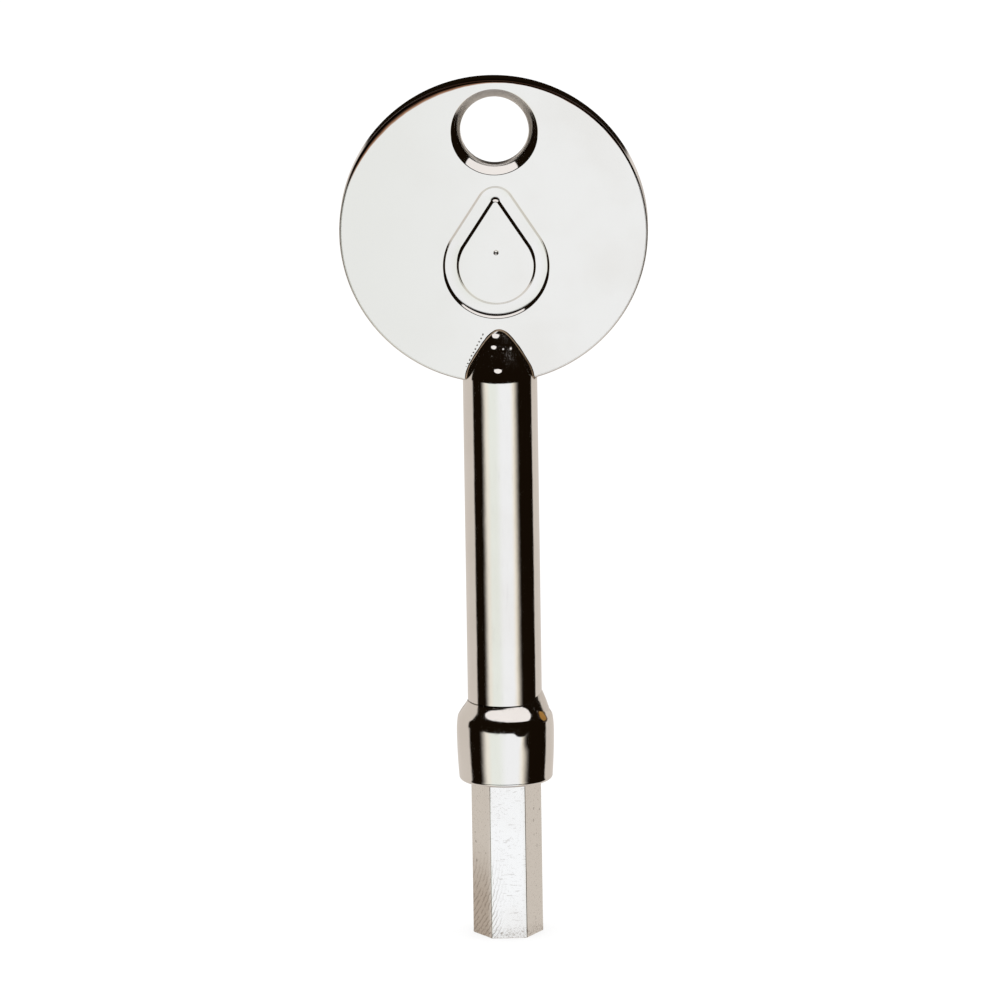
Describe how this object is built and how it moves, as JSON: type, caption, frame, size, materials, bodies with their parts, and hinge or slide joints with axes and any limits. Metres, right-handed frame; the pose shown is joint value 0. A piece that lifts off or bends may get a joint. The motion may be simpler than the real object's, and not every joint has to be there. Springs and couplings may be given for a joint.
{
  "type": "radiator bleed key",
  "caption": "Radiator bleed key with a flat round bow, keyring hole, round stem, collar and hexagonal bit, nickel plated.",
  "frame": {"origin": "centre of the hexagonal bit's lower end face, on the stem's axis", "axes": "+Z along the stem's axis from the bit towards the bow, +X across the bow's face, -Y out of the bow's marked front face"},
  "size_m": [0.0252, 0.008, 0.0717],
  "materials": {
    "nickel_plate": "brass, polished and bright nickel plated",
    "bit_metal": "milled hexagonal steel bar, nickel plated",
    "braze_metal": "braze filler, nickel plated over"
  },
  "bodies": {
    "root": {"bow_plate": "nickel_plate", "stem": "nickel_plate", "collar": "nickel_plate", "hex_bit": "bit_metal", "front_braze": "braze_metal", "back_braze": "braze_metal", "collar_braze": "braze_metal"}
  },
  "joints": []
}
